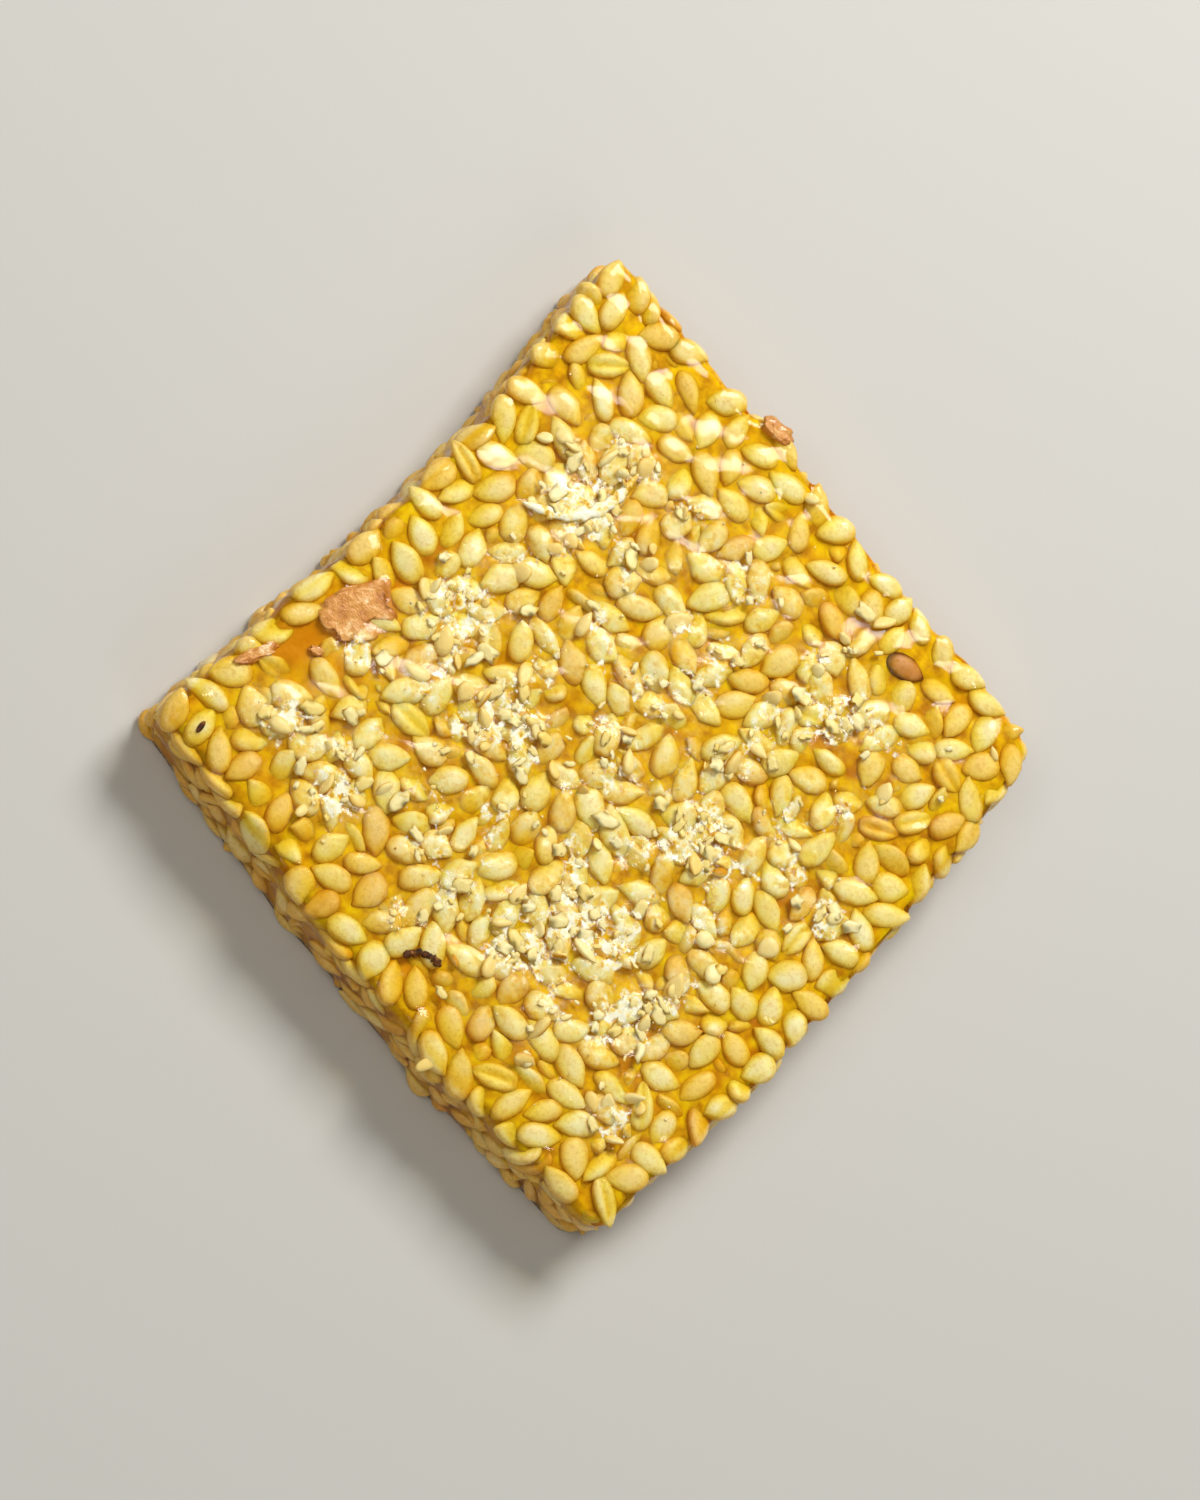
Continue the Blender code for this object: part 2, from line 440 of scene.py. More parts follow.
def wall_pushes(space, p, radius, push, count):
    """Add the pushes that keep balls under the top, over the base and inside the cuts."""
    over = p[:, 2] + radius + SKIN - space.at(space.top, p)
    push[:, 2] -= np.maximum(over, 0)
    under = radius + SKIN - p[:, 2]
    push[:, 2] += np.maximum(under, 0)
    side, dx, dy = space.read(space.side, p)
    out = np.maximum(radius - SIDE_POKE - side, 0)
    slope = np.sqrt(dx * dx + dy * dy) + 1e-6
    push[:, 0] += out * dx / slope
    push[:, 1] += out * dy / slope
    count += (over > 0) + 0.0 + (under > 0) + (out > 0)


def jam(space, centres, rotations, sizes, free):
    """Push overlapping seeds apart until they lie jammed inside the slab; only free ones move."""
    total, each = len(centres), len(BALLS)
    owner = np.repeat(np.arange(total), each)
    radius = (BALL_RADII[None] * sizes[:, 2:3]).ravel()
    local = BALL_PLACES[None] * sizes[:, None, :]
    inertia = (local ** 2).sum((1, 2)) + EXTRA_INERTIA
    for step in range(RELAX_STEPS):
        arm = np.einsum("nij,nkj->nki", rotations, local)
        p = (centres[:, None] + arm).reshape(-1, 3)
        if step % RELIST == 0:
            first, second = near_pairs(p, owner)
        gap = p[first] - p[second]
        apart = np.linalg.norm(gap, axis=1) + 1e-9
        overlap = radius[first] + radius[second] - apart
        hit = overlap > 0
        i, j = first[hit], second[hit]
        half = gap[hit] * (0.5 * overlap[hit] / apart[hit])[:, None]
        push = np.stack([np.bincount(i, half[:, k], len(p)) - np.bincount(j, half[:, k], len(p))
                         for k in range(3)], -1)
        count = np.bincount(i, minlength=len(p)) + np.bincount(j, minlength=len(p)) + 0.0
        wall_pushes(space, p, radius, push, count)
        push = push.reshape(total, each, 3)
        contacts = np.maximum(1.0, count.reshape(total, each).sum(1))
        shift = PUSH_SHARE * push.sum(1) / np.sqrt(contacts)[:, None]
        centres = centres + np.clip(shift, -MOST_SHIFT, MOST_SHIFT) * free
        omega = PUSH_SHARE * np.cross(arm, push).sum(1) / inertia[:, None]
        rotations = small_turns(np.clip(omega, -MOST_TURN, MOST_TURN) * free) @ rotations
    return centres, rotations


# ---------- meshes

def ball_mesh(subdivisions):
    """Vertices and triangles of a unit ball."""
    bm = bmesh.new()
    bmesh.ops.create_icosphere(bm, subdivisions=subdivisions, radius=1.0)
    vertices = np.array([v.co for v in bm.verts])
    faces = np.array([[v.index for v in f.verts] for f in bm.faces])
    bm.free()
    return vertices, faces


def lumps(points, scale, offset=(0.0, 0.0, 0.0)):
    """Smooth random numbers round zero at some points."""
    return np.array([noise.noise(Vector(p) * scale + Vector(offset)) for p in points])


def seed_shape(ball, variant):
    """A unit ball's vertices as a sesame seed in mm: butt at -X, tip at +X, flat along Z."""
    point, taper, bend, square, split = SHAPES[variant]
    s = ball[:, 0]
    width = 1 - taper * s - point * np.maximum(s, 0.0) ** 2 + square * np.maximum(-s, 0.0) ** 2
    y = ball[:, 1] * width * SEED_WIDTH / 2 + bend * s * s
    z = np.sign(ball[:, 2]) * np.abs(ball[:, 2]) ** SEED_FLATNESS
    z = z * (1 - SEED_THINNING * s) * SEED_THICKNESS / 2
    z = z * (1 - split * np.exp(-(ball[:, 1] / SPLIT_WIDTH) ** 2))
    wide = lumps(ball, 1.4, (variant * 7.0, 3.0, 1.0))
    fine = lumps(ball, 3.1, (variant * -7.0, -3.0, -1.0))
    size = 1.0 + SEED_LUMPS * (wide + 0.5 * fine)
    return np.stack([s * SEED_LENGTH / 2, y, z], -1) * size[:, None]


def seed_shapes(ball):
    """All the shapes of seeds, from a unit ball's vertices."""
    return np.stack([seed_shape(ball, k) for k in range(len(SHAPES))])


def joined(shapes, faces, variant, sizes, rotations, centres):
    """Vertices and faces of many placed seeds as one mesh."""
    local = shapes[variant] * sizes[:, None, :]
    world = np.einsum("nij,nkj->nki", rotations, local) + centres[:, None]
    offsets = np.arange(len(centres))[:, None, None] * shapes.shape[1]
    return world.reshape(-1, 3), (faces[None] + offsets).reshape(-1, 3)


def merged(parts):
    """Vertices and faces of several meshes as one."""
    starts = np.cumsum([0] + [len(v) for v, f in parts])
    faces = [f + start for (v, f), start in zip(parts, starts)]
    return np.concatenate([v for v, f in parts]), np.concatenate(faces)


def placed(name, data):
    """An object for a mesh, lamp or camera, linked to the scene."""
    thing = bpy.data.objects.new(name, data)
    bpy.context.scene.collection.objects.link(thing)
    return thing


def shaped(name, vertices, faces):
    """An object with a mesh of its own."""
    mesh = bpy.data.meshes.new(name)
    mesh.from_pydata(vertices.tolist(), [], faces)
    return placed(name, mesh)


def mesh_piece(name, vertices, faces, material):
    """A piece from vertices in mm."""
    piece = shaped(name, vertices * MM, [list(map(int, f)) for f in faces])
    piece.data.shade_smooth()
    piece.data.materials.append(material)
    return piece


def paint(piece, name, values):
    """Store one number for each vertex, for the piece's material."""
    layer = piece.data.attributes.new(name, "FLOAT", "POINT")
    layer.data.foreach_set("value", values.astype(np.float32))


def steep(piece, space, vertices, cover):
    """Store the colour that light keeps through the syrup over each vertex, made darker and browner
    low on the slab.
    """
    sunk = np.maximum(space.depth(vertices) - SKIN, 0.0) + cover
    sunk = sunk * (1.0 - THIN_SYRUP * space.roughness(vertices))
    kept = np.exp(-sunk[:, None] * SYRUP_TAKES)
    kept = kept * (1.0 - SIDE_BROWN * space.low_down(vertices)[:, None])
    colours = np.column_stack([kept, np.ones(len(kept))]).astype(np.float32)
    layer = piece.data.attributes.new("syrup_tint", "FLOAT_COLOR", "POINT")
    layer.data.foreach_set("color", colours.ravel())


# ---------- materials

def srgb(*colour):
    """A colour given as 0 to 255 sRGB, in linear light."""
    shares = [c / 255.0 for c in colour]
    return (*[c / 12.92 if c <= 0.04045 else ((c + 0.055) / 1.055) ** 2.4 for c in shares], 1.0)


CRUST_STOPS = ((0.34, srgb(204, 146, 10)), (0.41, srgb(244, 204, 76)),
               (0.46, srgb(255, 240, 166)), (0.53, srgb(255, 254, 228)))


class Nodes:
    """Short hand for building a material's node tree."""

    def __init__(self, name):
        self.material = bpy.data.materials.new(name)
        self.material.use_nodes = True
        self.tree = self.material.node_tree
        self.shader = self.tree.nodes["Principled BSDF"]
        self.output = self.tree.nodes["Material Output"]

    def add(self, kind, **settings):
        """A node with some of its settings and sockets given by name."""
        node = self.tree.nodes.new(kind)
        for key, value in settings.items():
            if hasattr(node, key):
                setattr(node, key, value)
            else:
                node.inputs[key.replace("_", " ")].default_value = value
        return node

    def link(self, source, target):
        self.tree.links.new(source, target)

    def feed(self, socket, value):
        """Give a socket a number or colour of its own, or link a pattern to it."""
        if isinstance(value, (float, tuple)):
            socket.default_value = value
        else:
            self.link(value, socket)

    def set(self, **values):
        """Numbers, colours or patterns for the shader's sockets, by name."""
        for key, value in values.items():
            self.feed(self.shader.inputs[key.replace("_", " ")], value)

    def scatter(self, weight, radius, scale):
        """Light that spreads inside: how much, how far for each colour, and the unit in metres."""
        self.set(Subsurface_Weight=weight, Subsurface_Radius=radius, Subsurface_Scale=scale)

    def stored(self, name, output="Fac"):
        """A number or colour that the mesh stores for each vertex."""
        return self.add("ShaderNodeAttribute", attribute_name=name).outputs[output]

    def noise(self, scale, detail, roughness=0.5):
        """A noise pattern over the object, scale in features a metre."""
        place = self.add("ShaderNodeTexCoord")
        pattern = self.add("ShaderNodeTexNoise", Scale=scale, Detail=detail, Roughness=roughness)
        self.link(place.outputs["Object"], pattern.inputs["Vector"])
        return pattern.outputs["Fac"]

    def ramp(self, source, *stops):
        """A colour ramp from (position, colour) stops."""
        node = self.add("ShaderNodeValToRGB")
        while len(node.color_ramp.elements) < len(stops):
            node.color_ramp.elements.new(0.5)
        for element, (position, colour) in zip(node.color_ramp.elements, stops):
            element.position = position
            element.color = colour
        self.link(source, node.inputs["Fac"])
        return node.outputs["Color"]

    def mix(self, factor, first, second, blend="MIX"):
        """A colour mix of two colours."""
        node = self.add("ShaderNodeMix", data_type="RGBA", blend_type=blend)
        self.feed(node.inputs[0], factor)
        self.feed(node.inputs[6], first)
        self.feed(node.inputs[7], second)
        return node.outputs[2]

    def math(self, operation, *values, clamp=False):
        """A pattern worked out from numbers and other patterns."""
        node = self.add("ShaderNodeMath", operation=operation, use_clamp=clamp)
        for socket, value in zip(node.inputs, values):
            self.feed(socket, value)
        return node.outputs[0]

    def stretched(self, value, start, end, first=0.0, last=1.0):
        """A number mapped from start and end to first and last, and kept between them."""
        node = self.add("ShaderNodeMapRange", From_Min=start, From_Max=end, To_Min=first,
                        To_Max=last)
        self.link(value, node.inputs["Value"])
        return node.outputs["Result"]

    def crust_cover(self):
        """How much of the dry crust covers a place: patches that grow with the roughness."""
        patch = self.noise(*CRUST_PATCHES)
        patch = self.math("MULTIPLY_ADD", patch, PATCH_CONTRAST, PATCH_LEVEL)
        return self.math("MULTIPLY", self.stored("crust"), patch, clamp=True)

    def crust_colour(self):
        """Colour of the dry crust: white on its lumps, gold in its pits. On the film the same
        pattern makes its wrinkles, so there the gold in the pits is partly painted shade.
        """
        return self.ramp(self.noise(*CRUST_LUMPS), *CRUST_STOPS)

    def scab_cover(self):
        """Where the film has dried to an opaque scab: ragged flecks inside the crust's cover."""
        fleck = self.math("MULTIPLY", self.crust_cover(), self.noise(*SCAB_FLECKS))
        return self.stretched(fleck, SCAB_FROM, SCAB_FULL)

    def bump(self, pattern, strength, distance, socket="Normal"):
        """Relief of a noise pattern, for one of the shader's normals; distance in metres."""
        node = self.add("ShaderNodeBump", Distance=distance)
        self.feed(node.inputs["Strength"], strength)
        self.link(self.noise(*pattern), node.inputs["Height"])
        self.link(node.outputs["Normal"], self.shader.inputs[socket])


def seed_material(name, pale, deep, rim, roughness):
    """Waxy seed coat: tone differs from seed to seed, darker at the rim, gold where sunk."""
    n = Nodes(name)
    body = n.mix(n.stored("rim"), n.ramp(n.stored("tone"), (0.0, pale), (1.0, deep)), rim)
    mottle = n.ramp(n.noise(*SEED_MOTTLE), (0.35, (0.86, 0.80, 0.66, 1.0)), (0.65, WHITE))
    speckle = n.ramp(n.noise(*SEED_SPECKLE), (0.36, (0.80, 0.70, 0.46, 1.0)), (0.5, WHITE))
    coat = n.mix(0.6, body, mottle, "MULTIPLY")
    coat = n.mix(0.5, coat, speckle, "MULTIPLY")
    coat = n.mix(1.0, coat, n.stored("syrup_tint", "Color"), "MULTIPLY")
    n.set(Base_Color=n.mix(n.crust_cover(), coat, n.crust_colour()))
    n.set(Roughness=roughness, Specular_IOR_Level=0.15)
    n.scatter(0.6, (1.0, 0.8, 0.45), 0.0009)
    n.bump(SEED_GRAIN, 0.35, 0.00008)
    return n.material


def core_material():
    """Clouded gold of the syrup in the slab's depth, seen between the seeds."""
    n = Nodes("clouded_syrup")
    cloud = n.ramp(n.noise(*CORE_CLOUDS), (0.32, srgb(186, 128, 0)), (0.5, srgb(226, 176, 0)),
                   (0.68, srgb(248, 210, 4)))
    stain = n.ramp(n.noise(*CORE_STAINS), (0.58, BLACK), (0.7, (0.7, 0.7, 0.7, 1.0)))
    cloud = n.mix(stain, cloud, srgb(190, 112, 4))
    cloud = n.mix(n.stored("amber"), cloud, srgb(214, 144, 4))
    n.set(Base_Color=n.mix(n.crust_cover(), cloud, n.crust_colour()))
    n.set(Roughness=0.5, Specular_IOR_Level=0.1)
    n.scatter(0.5, (1.0, 0.7, 0.2), 0.001)
    n.bump(CORE_LUMPS, 0.6, 0.0003)
    return n.material


def let_light_through(n):
    """Let light from the lamps and light that the seeds throw on pass a clear film."""
    path = n.add("ShaderNodeLightPath")
    clear = n.add("ShaderNodeBsdfTransparent")
    surface = n.shader.outputs["BSDF"]
    for ray in ("Is Diffuse Ray", "Is Shadow Ray"):
        either = n.add("ShaderNodeMixShader")
        n.link(path.outputs[ray], either.inputs[0])
        n.link(surface, either.inputs[1])
        n.link(clear.outputs["BSDF"], either.inputs[2])
        surface = either.outputs["Shader"]
    n.link(surface, n.output.inputs["Surface"])


def syrup_material():
    """Clear hard syrup, golden by its depth, with opaque scabs where it is rough."""
    n = Nodes("amber_syrup")
    scab = n.scab_cover()
    crust = n.stored("crust")
    dullness = n.stretched(n.noise(*GLOSS_PATCHES), 0.42, 0.7, *SYRUP_ROUGHNESS)
    n.set(Base_Color=n.mix(scab, WHITE, n.crust_colour()), Roughness=dullness, IOR=1.3)
    n.set(Transmission_Weight=n.stretched(scab, 0.0, 1.0, 1.0, 0.0))
    n.set(Coat_Weight=n.stretched(crust, 0.0, 1.0, 0.0, 0.6), Coat_Roughness=0.1)
    # the crust's colour follows this relief and paints the wrinkles' pits darker gold: partly
    # painted shade
    n.bump(CRUST_LUMPS, n.stretched(crust, 0.0, 1.0, *SYRUP_WRINKLE), 0.00015)
    n.bump(COAT_RIPPLES, 0.6, 0.0002, "Coat Normal")
    let_light_through(n)
    depth = n.add("ShaderNodeVolumeAbsorption", Color=(0.97, 0.9, 0.1, 1.0), Density=1400.0)
    n.link(depth.outputs["Volume"], n.output.inputs["Volume"])
    return n.material


def bit_material(name, pale, deep, roughness, specular):
    """Dry cream bits on the syrup, each of its own tone, golden on their lower side: partly where
    they sink in it, partly painted warm shade.
    """
    n = Nodes(name)
    # the gold end of the tone is partly painted shade on each bit's lower side
    body = n.ramp(n.stored("tone"), (0.0, pale), (0.6, deep), (1.0, srgb(214, 152, 20)))
    mottle = n.ramp(n.noise(*BIT_MOTTLE), (0.35, (0.88, 0.82, 0.66, 1.0)), (0.65, WHITE))
    n.set(Base_Color=n.mix(0.4, body, mottle, "MULTIPLY"))
    n.set(Roughness=roughness, Specular_IOR_Level=specular)
    n.scatter(0.3, (1.0, 1.0, 1.0), 0.0002)
    n.bump(BIT_GRAIN, 0.3, 0.00005)
    return n.material


def mottled_material(name, roughness, specular, relief, mottle, *stops):
    """A stuff of several colours; relief is a pattern, its strength and its distance."""
    n = Nodes(name)
    n.set(Base_Color=n.ramp(n.noise(*mottle), *stops))
    n.set(Roughness=roughness, Specular_IOR_Level=specular)
    n.bump(*relief)
    return n.material


# ---------- seeds, core and film

def shrunk_slab(slab, inset, swell=0.0):
    """Vertices in mm and faces of the slab drawn in by some mm, evenly or with a swell."""
    bm = bmesh.new()
    bm.from_mesh(slab.data)
    bmesh.ops.remove_doubles(bm, verts=bm.verts, dist=1e-6)
    bm.normal_update()
    places = np.array([v.co for v in bm.verts]) / MM
    normals = np.array([v.normal for v in bm.verts])
    faces = [[v.index for v in f.verts] for f in bm.faces]
    bm.free()
    inset = inset + swell * lumps(places, CORE_WAVE)
    return places - normals * inset[:, None], faces


def pressed(vertices):
    """Vertices with the lowest ones flattened, as against the pan the slab was poured in."""
    z = vertices[:, 2]
    flat = PAN_GAP * np.exp(np.minimum(z - PAN_GAP, 0.0) / PAN_GAP)
    return np.column_stack([vertices[:, :2], np.where(z < PAN_GAP, flat, z)])


def crinkled(space, places):
    """The film's vertices with the dry wrinkles and grain of the rough middle."""
    rough = space.roughness(places)
    for i in np.flatnonzero(rough > SMOOTH_BELOW):
        p = Vector(places[i])
        ridge = 1.0 - 2.5 * abs(noise.noise(p * 1.7))
        grain = noise.noise(p * 4.3 + Vector((9.0, 0.0, 0.0)))
        places[i, 2] += CRINKLE * rough[i] * (0.7 * ridge + 1.1 * grain)
    return places


def crusted(places, rough):
    """Seeds' vertices, lumpy and worn out of shape where the top is rough."""
    places = places.copy()
    for i in np.flatnonzero(rough > SMOOTH_BELOW):
        p = Vector(places[i])
        lump = noise.noise(p * 2.1) + 0.6 * noise.noise(p * 4.7)
        places[i, 2] += SEED_CRUST * rough[i] * lump
        places[i] += SEED_WEAR * rough[i] * np.array(noise.noise_vector(p * 1.3))
    return places


def rim_of(shapes):
    """How near each vertex of the seed shapes is to the rim of its flat side, 0 to 1."""
    off = np.hypot(shapes[:, :, 0] / (SEED_LENGTH / 2), shapes[:, :, 1] / (SEED_WIDTH / 2))
    return np.clip((off - RIM_FROM) / RIM_WIDTH, 0.0, 1.0) ** 1.5


def seed_piece(name, look, seeds, pick, ball, faces):
    """One kind of seed as a joined mesh; look is pale, deep and rim colours and roughness."""
    shapes = seed_shapes(ball)
    variant = seeds["variant"][pick]
    v, f = joined(shapes, faces, variant, seeds["size"][pick], seeds["turn"][pick],
                  seeds["place"][pick])
    space = seeds["space"]
    rough = space.roughness(v)
    v = space.capped(crusted(pressed(v), rough))
    piece = mesh_piece(name, v, f, seed_material(name, *look))
    paint(piece, "tone", np.repeat(seeds["tone"][pick], len(ball)))
    paint(piece, "rim", rim_of(shapes)[variant].ravel())
    paint(piece, "crust", rough)
    steep(piece, space, v, np.repeat(seeds["cover"][pick], len(ball)))
    return piece, v, f


def pooled(places):
    """How amber the syrup is over some points, in the pools where it ran together."""
    pools = np.zeros(len(places))
    for x, y, radius in AMBER_POOLS:
        away = (places[:, 0] - x) ** 2 + (places[:, 1] - y) ** 2
        pools += np.exp(-away / radius ** 2)
    return np.clip(AMBER_STRENGTH * pools, 0.0, 1.0)


def core_piece(slab, space):
    """The clouded syrup that fills the slab's depth."""
    body, faces = shrunk_slab(slab, CORE_DEPTH, CORE_SWELL)
    core = mesh_piece("clouded_core", body, faces, core_material())
    paint(core, "crust", CORE_CRUST * space.roughness(body))
    paint(core, "amber", np.maximum(pooled(body), CORE_BROWN * space.low_down(body)))
    return core


def modify(thing, kind, **settings):
    """Add a modifier with some of its settings."""
    modifier = thing.modifiers.new(kind.lower(), kind)
    for key, value in settings.items():
        setattr(modifier, key, value)


def melted(slab, vertices, faces):
    """Mesh of the slab's body and its outer seeds melted into one skin over them."""
    body, body_faces = shrunk_slab(slab, SYRUP_INSET)
    guide = shaped("syrup_guide", vertices, faces.tolist())
    source = shaped("syrup_source", np.concatenate([body, vertices]),
                    body_faces + (faces + len(body)).tolist())
    modify(source, "REMESH", mode="VOXEL", voxel_size=SYRUP_VOXEL)
    modify(source, "SMOOTH", factor=0.5, iterations=3)
    graph = bpy.context.evaluated_depsgraph_get()
    fine = source.evaluated_get(graph).data.polygons
    triangles = sum(len(p.vertices) - 2 for p in fine)
    modify(source, "DECIMATE", ratio=min(1.0, SYRUP_TRIANGLES / triangles))
    modify(source, "SHRINKWRAP", target=guide, wrap_method="NEAREST_SURFACEPOINT",
           wrap_mode="OUTSIDE", offset=SYRUP_COAT)
    graph = bpy.context.evaluated_depsgraph_get()
    film = bpy.data.meshes.new_from_object(source.evaluated_get(graph))
    for extra in (source, guide):
        bpy.data.objects.remove(extra)
    return film


def syrup_piece(slab, space, vertices, faces, material):
    """Film of hard syrup over the slab and its outer seeds, given in mm."""
    film = melted(slab, vertices, faces)
    places = np.empty(3 * len(film.vertices))
    film.vertices.foreach_get("co", places)
    places = space.capped(crinkled(space, pressed(places.reshape(-1, 3))))
    film.vertices.foreach_set("co", (places * MM).ravel())
    film.shade_smooth()
    film.materials.clear()
    film.materials.append(material)
    piece = placed("syrup_film", film)
    paint(piece, "crust", space.roughness(places))
    return piece


# ---------- bits on the film and in it

def chip_shape(ball, variant, roughness):
    """A unit ball's vertices knocked into an angular chip."""
    flat = np.sign(ball) * np.abs(ball) ** 0.8
    size = 1.0 + roughness * lumps(ball, 1.7, (variant * 5.3, 2.0, 7.0))
    return flat * size[:, None]


def film_spots(tree, space, count, low):
    """Points and normals on top of the film, thick where the middle is rough."""
    spots = []
    normals = []
    while len(spots) < count:
        x = rng.uniform(space.low[0], space.high[0])
        y = rng.uniform(space.low[1], space.high[1])
        over = np.array([[x, y, space.high[2]]])
        if rng.uniform() > low + (1.0 - low) * space.roughness(over)[0] ** 1.5:
            continue
        on_peanut = math.dist((x, y), HELD[-1][:2]) < PEANUT_SIZE[0] / 2
        if on_peanut or space.at(space.side, over)[0] < SPOT_MARGIN:
            continue
        hit, normal = dropped(tree, x, y)
        if hit is None or normal.z < SPOT_STEEPEST:
            continue
        spots.append(np.array(hit) / MM)
        normals.append(np.array(normal))
    return np.array(spots), np.array(normals)


def leaned(normals, lean):
    """Rotations that lay Z near some normals, with a random lean and spin."""
    count = len(normals)
    up = normals + rng.normal(0.0, lean, (count, 3))
    up /= np.linalg.norm(up, axis=1)[:, None]
    side = np.cross(up, rng.normal(0.0, 1.0, (count, 3)))
    side /= np.linalg.norm(side, axis=1)[:, None]
    return np.stack([side, np.cross(up, side), up], -1)


def sunk_and_shaded_tones(tones, ball, level):
    """Tones for every vertex of many bits, deeper and golden on their lower side: partly where they
    sink in the syrup, partly painted warm shade under their edges.
    """
    return BIT_TONES * tones[:, None] + np.clip(level - ball[:, 2], 0.0, 1.0)


def scattered_bits(name, tree, space, ball, material, count, low, sizes, spread, lean, sink):
    """Many small chips on the film as one piece."""
    shapes = np.stack([chip_shape(ball[0], k, CHIP_ROUGHNESS) for k in range(CHIP_SHAPES)])
    spots, normals = film_spots(tree, space, count, low)
    size = np.array(sizes) * rng.lognormal(0.0, spread, (count, 1))
    size = size * rng.uniform(*BIT_STRETCH, (count, 3))
    size = np.minimum(size, 2.0 * np.array(sizes))
    places = spots + normals * (size[:, 2:3] * (1.0 - sink))
    variant = rng.integers(0, CHIP_SHAPES, count)
    v, f = joined(shapes, ball[1], variant, size, leaned(normals, lean), places)
    piece = mesh_piece(name, space.capped(v), f, material)
    paint(piece, "tone", sunk_and_shaded_tones(rng.beta(1.3, 1.8, count), ball[0], 0.35).ravel())
    return piece


def seed_bits(tree, space, material):
    """Broken and small seeds lying on the rough middle, and a husk on the front edge."""
    ball = ball_mesh(2)
    shapes = seed_shapes(ball[0])
    spots, normals = film_spots(tree, space, BITS, BITS_LOW)
    size = rng.uniform(*BIT_SIZES, (BITS, 1)) * rng.uniform(*BIT_STRETCH, (BITS, 3))
    variant = rng.integers(0, len(SHAPES), BITS)
    husk_turn = turns(2, np.radians([HUSK_TURN]))
    turn = np.concatenate([leaned(normals, BIT_LEAN), husk_turn])
    size = np.vstack([size, HUSK_SIZE])
    places = np.vstack([spots - normals * BIT_SINK, HUSK])
    v, f = joined(shapes, ball[1], np.append(variant, 0), size, turn, places)
    piece = mesh_piece("seed_bits", space.capped(v), f, material)
    tone = sunk_and_shaded_tones(rng.beta(1.6, 1.6, BITS + 1), ball[0], 0.3)
    tone[-1] = 0.5
    paint(piece, "tone", tone.ravel())
    return piece


def peanut_shape(ball, variant):
    """A unit ball's vertices as a flat-topped chip of peanut with a rippled skin."""
    ripple = PEANUT_RIPPLE * lumps(ball, 4.5, (variant * 3.0, 0.0, 0.0))
    shape = chip_shape(ball, variant + 3, 0.5) * (1.0 + ripple)[:, None]
    shape[:, 2] = np.clip(shape[:, 2] * 1.8, -1.0, 1.0) + ripple
    return shape


def peanut_piece(space):
    """A chip of skinned peanut held in the top near the left cut, and crumbs of peanut."""
    ball, faces = ball_mesh(4)
    x, y, turn, _ = HELD[-1]
    chips = [(x, y, *PEANUT_SIZE, turn)]
    chips += [(*bit[:4], PEANUT_BIT_HEIGHT, bit[4]) for bit in PEANUT_BITS]
    parts = []
    for k, (x, y, length, width, height, turn) in enumerate(chips):
        level = space.at(space.top, np.array([(x, y)]))[0]
        place = np.array([[x, y, level - PEANUT_SUNK - height / 2]])
        size = np.array([[length, width, height]]) / 2
        shape = peanut_shape(ball, k)[None]
        turned = turns(2, np.radians([turn]))
        parts.append(joined(shape, faces, np.array([0]), size, turned, place))
    skin = mottled_material("peanut", 0.4, 0.5, (PEANUT_LUMPS, 0.7, 0.00025), PEANUT_MOTTLE,
                            (0.32, srgb(166, 92, 16)), (0.46, srgb(206, 136, 60)),
                            (0.58, srgb(222, 160, 86)), (0.68, srgb(254, 226, 186)))
    v, f = merged(parts)
    v = space.capped(v)
    return mesh_piece("peanut_chip", v, f, skin), v, f


def smoothed(values, reach, **padding):
    """Running mean of some values, over reach places to each side."""
    window = np.ones(2 * reach + 1) / (2 * reach + 1)
    return np.convolve(np.pad(values, reach, **padding), window, "valid")


def ragged(count, scale, seed):
    """Smooth random numbers round zero along a path."""
    return np.array([noise.noise(Vector((i * scale, seed, 2.0))) for i in range(count)])


def band(tree, space, path, width, height, lift):
    """Vertices in mm and faces of a flat band laid over the film along a path of x and y."""
    level = np.array([dropped(tree, x, y)[0].z for x, y in path]) / MM
    level = smoothed(level, 3, mode="edge") + lift
    ahead = np.gradient(path, axis=0)
    ahead /= np.linalg.norm(ahead, axis=1)[:, None]
    angles = np.linspace(0.0, 2.0 * math.pi, BAND_SIDES, endpoint=False)
    across = width[:, None] * np.cos(angles)
    v = np.stack([path[:, :1] - ahead[:, 1:] * across, path[:, 1:] + ahead[:, :1] * across,
                  level[:, None] + height * np.sin(angles)], -1).reshape(-1, 3)
    starts = range(0, (len(path) - 1) * BAND_SIDES, BAND_SIDES)
    corners = [(k, (k + 1) % BAND_SIDES) for k in range(BAND_SIDES)]
    f = [(i + k, i + m, i + BAND_SIDES + m, i + BAND_SIDES + k) for i in starts for k, m in corners]
    ends = [tuple(range(BAND_SIDES))[::-1], tuple(range(len(v) - BAND_SIDES, len(v)))]
    return space.capped(v), f + ends


